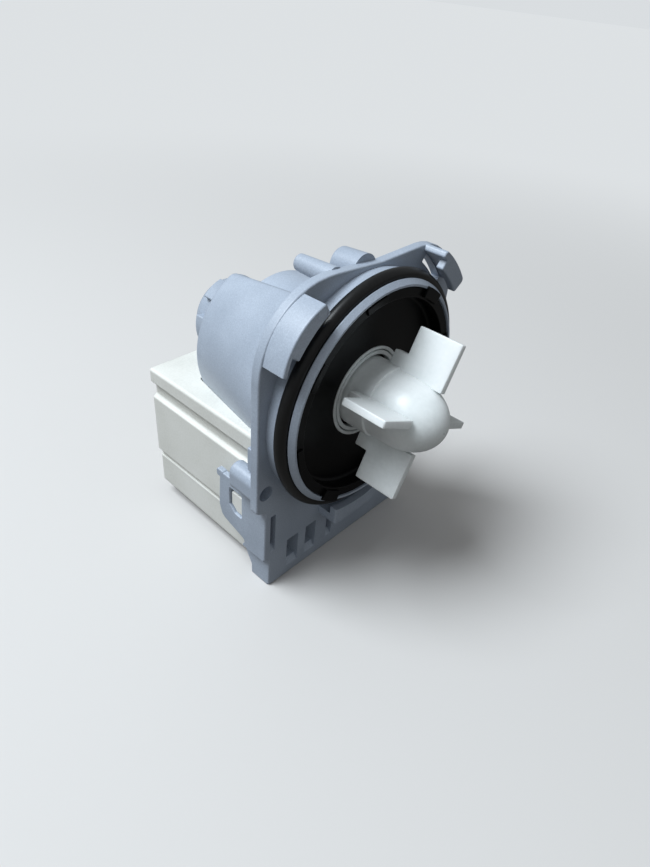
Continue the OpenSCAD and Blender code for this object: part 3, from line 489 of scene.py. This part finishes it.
# Stator iron
# Pole pieces and yoke, stacked from punched sheet half a millimetre thick, so that fine lines run
# round them across the shaft.


def striped(name, shades, direction, pitch, depth, rough, **values):
    """Material of many thin layers: bands along one object axis, one per pitch, under a cloudy tint.

    shades lists three screen colours from dark to light. pitch and depth are in metres.
    """
    made, make, wire = material(name, **values)
    where = make("TexCoord")
    bands = make("TexWave", {"bands_direction": direction},
                 {"Vector": (where, "Object"), "Scale": math.pi / 10 / pitch,
                  "Distortion": 0.4, "Detail": 1.0, "Detail Scale": 3.0})
    cloud = make("TexNoise", None, {"Vector": (where, "Object"), "Scale": 140.0, "Detail": 3.0})
    blend = make("Mix", {"data_type": "FLOAT"}, {"Factor": 0.45, "A": (bands, "Fac"), "B": (cloud, "Fac")})
    dark, middle, light = (linear(*shade) for shade in shades)
    wire(ramp(make, blend, [(0.2, dark), (0.5, middle), (0.8, light)]), "Color", "Base Color")
    dull = make("MapRange", None, {"Value": (cloud, "Fac"), "To Min": rough - 0.08, "To Max": rough + 0.08})
    wire(dull, "Result", "Roughness")
    skin = make("Bump", None, {"Strength": 1.0, "Distance": depth, "Height": (bands, "Fac")})
    wire(skin, "Normal", "Normal")
    return made


dress(striped("lamination_steel", [(0.42, 0.43, 0.46), (0.60, 0.61, 0.63), (0.70, 0.71, 0.72)],
              "Y", 0.0005, 0.00003, 0.42, Metallic=0.9), "pole_left", "pole_right", "yoke")

# Coils
# Two natural-coloured plastic bobbins, each wound with lacquered copper wire, and the small thermal
# cut-out between the windings.
dress(moulded_plastic("bobbin_plastic", [(0.80, 0.79, 0.72), (0.86, 0.85, 0.79), (0.90, 0.89, 0.84)],
                      0.0008, 0.000006, 0.45, 0.4), "bobbin_left", "bobbin_right")
dress(striped("copper_wire", [(0.45, 0.22, 0.12), (0.74, 0.42, 0.24), (0.88, 0.58, 0.38)],
              "Z", 0.0003, 0.00008, 0.3, Metallic=1.0, Coat_Weight=0.5), "winding_left", "winding_right")
dress(moulded_plastic("fuse_body", [(0.66, 0.63, 0.54), (0.74, 0.71, 0.62), (0.80, 0.78, 0.70)],
                      0.0006, 0.000006, 0.4, 0.4), "thermal_fuse")

# Terminals
# Tinned brass tabs, cut from strip, that stand in the socket at the case's rear.
dress(moulded_plastic("tinned_brass", [(0.66, 0.65, 0.60), (0.80, 0.79, 0.75), (0.88, 0.87, 0.84)],
                      0.0004, 0.000006, 0.28, 0.5, Metallic=1.0), "terminal_left", "terminal_right")

# Rotor
# A ferrite magnet on a plastic carrier, on a ground steel shaft that runs on a thrust washer at each
# end. The blue dog at the shaft's front drives the impeller.
dress(striped("shaft_steel", [(0.70, 0.71, 0.73), (0.80, 0.81, 0.83), (0.88, 0.89, 0.90)],
              "Y", 0.0002, 0.000003, 0.24, Metallic=1.0), "rotor_shaft")
dress(moulded_plastic("ferrite", [(0.13, 0.13, 0.14), (0.20, 0.20, 0.21), (0.28, 0.28, 0.30)],
                      0.0003, 0.00001, 0.5, 0.6), "rotor_magnet")
dress(moulded_plastic("carrier_plastic", [(0.20, 0.22, 0.26), (0.26, 0.28, 0.33), (0.33, 0.35, 0.40)],
                      0.0005, 0.000006, 0.45, 0.4), "magnet_carrier")
dress(moulded_plastic("washer_plastic", [(0.74, 0.69, 0.58), (0.80, 0.76, 0.66), (0.86, 0.82, 0.73)],
                      0.0004, 0.000005, 0.4, 0.4), "front_washer", "rear_washer")
dress(moulded_plastic("dog_plastic", [(0.12, 0.20, 0.42), (0.15, 0.25, 0.50), (0.20, 0.31, 0.57)],
                      0.0005, 0.000006, 0.42, 0.4), "drive_dog")

# Impeller
# White acetal hub with a domed nose, four flat blades with stepped roots and, inside, the hollow of
# the clutch. Moulded in one.
t = np.linspace(0, np.pi / 2, 25)[:-1]
hub_line = [(9.2, -2.4, 0.1), (9.2, -10, 0.12), (8.78, -10.22, 0.1)]
hub_line += [(r, y, 0.02) for r, y in zip((8.75 * np.cos(t)).tolist(), (-15.8 - 11 * np.sin(t)).tolist())]
hub_line += [(0.45, -26.77, 0.1), (0.35, -26.35, 0.05), (0, -26.35, 0), (0, -22.5, 0),
             (2.05, -22.5, 0.02), (2.05, -19.1, 0.02), (6.6, -19.1, 0.2), (7.4, -16.6, 0.2),
             (7.4, -6.5, 0.02), (7.8, -6.5, 0.02), (7.8, -2.4, 0.02)]
hub = turned(hub_line, 144, 2)
blade_edge = rim([(-22.2, 8, 0.1), (-22.2, 20, 0.35), (-10.4, 20, 0.35), (-10.4, 12.8, 0.25),
                  (-6.7, 12.8, 0.35), (-6.7, 8, 0.1)], 4)


def turned_blade(a):
    """One blade, thinned by up to 18% towards its tip and turned by angle a from +Z towards +X."""
    def place(p):
        x = p[:, 0] * (1 - 0.18 * np.clip((p[:, 2] - 9) / 11, 0, 1))
        return np.stack([x * math.cos(a) + p[:, 2] * math.sin(a), p[:, 1],
                         p[:, 2] * math.cos(a) - x * math.sin(a)], 1)

    return reshaped(moulded([(blade_edge, 0.25, 0.25)], -1.1, 1.1, "yzx"), place)


blades = [turned_blade(math.radians(26 + 90 * k)) for k in range(4)]
inside_rib = moulded([(band(4.5, 7.6, 7, 45, 0.1), 0, 0)], -16.1, -8)
hollow = moulded([(disc(7.4), 0, 0)], -16.6, -6.5)
shell = fuse("impeller_shell", hub, blades, [hollow])
impeller = fuse("impeller_moulding", shell, [inside_rib])
impeller_plastic = moulded_plastic(
    "impeller_plastic", [(0.90, 0.92, 0.92), (0.935, 0.955, 0.955), (0.96, 0.975, 0.975)],
    0.0011, 0.000004, 0.36, 0.3, Subsurface_Weight=0.5,
    Subsurface_Radius=(0.004, 0.004, 0.004), Subsurface_Scale=0.7)
impeller.data.materials.append(impeller_plastic)
dress(impeller_plastic, "impeller_plug")
dress(black_rubber, "hub_bumper")
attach(impeller, "impeller")
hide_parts("impeller")

# Coil case
# Warm white box round the coils, moulded with two long grooves in each side, hooked into the latch
# loops by its catches. The motor shell lies in its saddle, and the two tabs stand in its socket.
half_edge = [(27.2, -7.5, 0.9), (27.2, -12.4, 0.5), (25.7, -13.4, 0.7), (25.7, -16.8, 0.7),
             (26.9, -17.7, 0.6), (26.9, -36.4, 0.4), (25.7, -36.8, 0.4), (25.7, -38.8, 0.4),
             (26.1, -39.2, 0.3), (26.1, -50.5, 1.2)]
case_edge = half_edge + [(-x, z, r) for x, z, r in half_edge[::-1]]


def slope(p):
    """Towards the rear the top drops by up to 0.9 mm and the underside rises by up to 1.1 mm."""
    back = (p[:, 1] - 4) / 48
    low = np.clip((-39.2 - p[:, 2]) / 11.3, 0, 1)
    high = np.clip((p[:, 2] + 12) / 4.5, 0, 1)
    p[:, 2] += back * (1.1 * low - 0.9 * high)
    return p


case_body = reshaped(moulded([(rim(case_edge), 0.6, 0.9)], 5, 51), slope)
catch_edge = rim([(9.4, -33.3, 0.3), (11.6, -33, 0.4), (13.6, -31.2, 0.4), (13.6, -27.1, 0.4),
                  (9.4, -27.1, 0.4)])
catches = [moulded([(catch_edge, 0.3, 0.3)], a, b, "yzx") for a, b in ((-29.35, -26.4), (26.4, 29.35))]

# Room for the shell, its pocket, the tube and the rear boss, then for the coils and the connector
shell_room = turned([(0, 2, 0), (21.58, 2, 0.02), (19.86, 30.2, 0.02), (0, 30.2, 0)], round_steps)
pocket_cone = turned([(0, 2, 0), (27.86, 2, 0.02), (21.66, 37.65, 0.9), (0, 37.65, 0)], round_steps)
pocket_room = fuse("pocket_room", block((-28.6, 0), (4, 39), (-9.8, 1), 0.02, 0.02), common=[pocket_cone])
case_cuts = [shell_room, pocket_room,
             moulded([(disc(14, steps=128), 0, 0)], 29, 38.8),
             moulded([(disc(12.4, steps=128), 0, 0.6)], 38, 52.5),
             block((-24.8, 24.8), (6.5, 35.2), (-47.8, -11.5), 0.5, 0.3),
             block((-9.5, 9.5), (40.5, 52.5), (-33, -23), 0.8, 0.02)]
case_cuts += [block((x - 0.45, x + 0.45), (34.2, 41.5), (-31.2, -24.8), 0.1, 0.02) for x in (-5, 5)]
coil_case = fuse("coil_case_box", case_body, catches, case_cuts)
case_plastic = moulded_plastic(
    "case_plastic", [(0.86, 0.86, 0.835), (0.90, 0.90, 0.875), (0.925, 0.925, 0.905)],
    0.0006, 0.000008, 0.4, 0.35)
coil_case.data.materials.append(case_plastic)
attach(coil_case, "stator")
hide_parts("coil_case")

# Studio
# The pump stands on a plain pale floor under one soft lamp, seen from the photograph's viewpoint.
ground, reach = -0.0536, 3
floor = bpy.data.objects.new("floor", bpy.data.meshes.new("floor"))
floor.data.from_pydata([(-reach, -reach, ground), (reach, -reach, ground),
                        (reach, reach, ground), (-reach, reach, ground)], [], [(0, 1, 2, 3)])
bpy.context.scene.collection.objects.link(floor)

# What the camera sees is pale and fades into the backdrop's tone with the distance; the light that
# the floor throws back is that of a darker table.
floor_paint, make, wire = material("floor_paint", Roughness=0.85,
                                   Emission_Color=(*linear(0.855, 0.87, 0.88), 1))
seen = make("LightPath")
tint = make("Mix", {"data_type": "RGBA"}, {"Factor": (seen, "Is Camera Ray")})
tint.inputs["A"].default_value = (0.16, 0.15, 0.14, 1)
tint.inputs["B"].default_value = (*linear(0.83, 0.82, 0.81), 1)
distance = make("VectorMath", {"operation": "LENGTH"}, {"Vector": (make("TexCoord"), "Object")})
far = make("MapRange", {"interpolation_type": "SMOOTHSTEP"},
           {"Value": (distance, "Value"), "From Min": 0.1, "From Max": 0.55})
glow = make("Math", {"operation": "MULTIPLY"}, {0: (far, "Result"), 1: (seen, "Is Camera Ray")})
lit = make("Mix", {"data_type": "RGBA"}, {"Factor": (glow, "Value")})
lit.inputs["B"].default_value = (0, 0, 0, 1)
floor_paint.node_tree.links.new(tint.outputs["Result"], lit.inputs["A"])
wire(lit, "Result", "Base Color")
wire(glow, "Value", "Emission Strength")
floor.data.materials.append(floor_paint)

# Soft fill light from all sides; the camera alone sees the backdrop paler
fill, extra = 0.3, 0.45
world = bpy.data.worlds.new("studio")
world.use_nodes = True
backdrop = world.node_tree.nodes["Background"]
backdrop.inputs["Color"].default_value = (0.93, 0.97, 1.0, 1)
sight = world.node_tree.nodes.new("ShaderNodeLightPath")
strength = world.node_tree.nodes.new("ShaderNodeMath")
strength.operation = "MULTIPLY_ADD"
strength.inputs[1].default_value = extra
strength.inputs[2].default_value = fill
world.node_tree.links.new(sight.outputs["Is Camera Ray"], strength.inputs[0])
world.node_tree.links.new(strength.outputs[0], backdrop.inputs["Strength"])
bpy.context.scene.world = world

# One large lamp above the pump's left and a little behind its flange, as cool as window light
window = bpy.data.lights.new("window", "AREA")
window.shape, window.size, window.energy = "DISK", 0.6, 12.6
window.color = (0.87, 0.94, 1.0)
lamp = bpy.data.objects.new("window", window)
lamp.location = (-0.43, 0.30, 0.86)
lamp.rotation_euler = (Vector((0, 0.01, 0)) - lamp.location).to_track_quat("-Z", "Y").to_euler()
bpy.context.scene.collection.objects.link(lamp)

# The camera's direction, roll, place and lens, solved from points of the part in the photograph
azimuth, elevation, roll = (math.radians(a) for a in (-49.767, 37.043, 5.425))
level = math.cos(elevation)
back = Vector((math.sin(azimuth) * level, -math.cos(azimuth) * level, math.sin(elevation)))
right = (-back).cross(Vector((0, 0, 1))).normalized()
up = right.cross(-back)
across = math.cos(roll) * right + math.sin(roll) * up
upright = math.cos(roll) * up - math.sin(roll) * right
eye = bpy.data.cameras.new("camera")
eye.lens, eye.sensor_width, eye.clip_start = 26.174, 36, 0.005
camera = bpy.data.objects.new("camera", eye)
camera.matrix_world = Matrix(((across.x, upright.x, back.x, -0.106248),
                              (across.y, upright.y, back.y, -0.081149),
                              (across.z, upright.z, back.z, 0.084836),
                              (0, 0, 0, 1)))
bpy.context.scene.collection.objects.link(camera)
bpy.context.scene.camera = camera
bpy.context.scene.view_settings.view_transform = "Standard"
